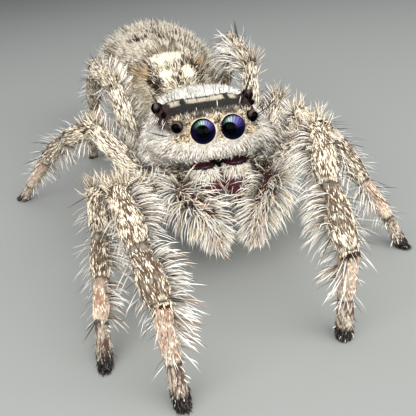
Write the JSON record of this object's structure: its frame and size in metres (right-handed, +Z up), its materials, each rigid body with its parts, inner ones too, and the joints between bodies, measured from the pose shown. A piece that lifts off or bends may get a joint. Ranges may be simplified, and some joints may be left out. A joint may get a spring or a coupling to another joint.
{
  "type": "jumping spider",
  "caption": "Life-size standing spider model with a boxy head shield, round abdomen, hanging palps and bent legs, resting on small flats.",
  "frame": {"origin": "middle of the model's footprint box, on the floor", "axes": "+Z up; the spider looks along -Y and its left side is +X"},
  "size_m": [0.014, 0.0228, 0.0059],
  "materials": {
    "coat_pale": "short cream and white hair over brown skin",
    "coat_grey": "grey and cream hair with white spots",
    "coat_blush": "peach to dark hair on the outer leg segments",
    "eye_black": "glossy lens, nearly black",
    "jaw_wine": "glossy wine red shell with a violet sheen",
    "shell_brown": "satin dark brown shell"
  },
  "bodies": {
    "root": {"abdomen": "coat_grey", "breast_plate": "shell_brown", "carapace": "coat_pale", "eye_front_left": "eye_black", "eye_front_right": "eye_black", "eye_middle_left": "eye_black", "eye_middle_right": "eye_black", "eye_outer_left": "eye_black", "eye_outer_right": "eye_black", "eye_rear_left": "eye_black", "eye_rear_right": "eye_black", "jaw_left": "jaw_wine", "jaw_right": "jaw_wine", "leg_left_1_foot": "coat_blush", "leg_left_1_heel": "coat_blush", "leg_left_1_knee": "coat_pale", "leg_left_1_shin": "coat_pale", "leg_left_1_thigh": "coat_pale", "leg_left_2_foot": "coat_blush", "leg_left_2_heel": "coat_blush", "leg_left_2_knee": "coat_pale", "leg_left_2_shin": "coat_pale", "leg_left_2_thigh": "coat_pale", "leg_left_3_foot": "coat_blush", "leg_left_3_heel": "coat_blush", "leg_left_3_knee": "coat_pale", "leg_left_3_shin": "coat_pale", "leg_left_3_thigh": "coat_pale", "leg_left_4_foot": "coat_blush", "leg_left_4_heel": "coat_blush", "leg_left_4_knee": "coat_pale", "leg_left_4_shin": "coat_pale", "leg_left_4_thigh": "coat_pale", "leg_right_1_foot": "coat_blush", "leg_right_1_heel": "coat_blush", "leg_right_1_knee": "coat_pale", "leg_right_1_shin": "coat_pale", "leg_right_1_thigh": "coat_pale", "leg_right_2_foot": "coat_blush", "leg_right_2_heel": "coat_blush", "leg_right_2_knee": "coat_pale", "leg_right_2_shin": "coat_pale", "leg_right_2_thigh": "coat_pale", "leg_right_3_foot": "coat_blush", "leg_right_3_heel": "coat_blush", "leg_right_3_knee": "coat_pale", "leg_right_3_shin": "coat_pale", "leg_right_3_thigh": "coat_pale", "leg_right_4_foot": "coat_blush", "leg_right_4_heel": "coat_blush", "leg_right_4_knee": "coat_pale", "leg_right_4_shin": "coat_pale", "leg_right_4_thigh": "coat_pale", "palp_left_arm": "coat_pale", "palp_left_tip": "coat_pale", "palp_right_arm": "coat_pale", "palp_right_tip": "coat_pale", "spinnerets": "shell_brown", "waist": "shell_brown"}
  },
  "joints": []
}
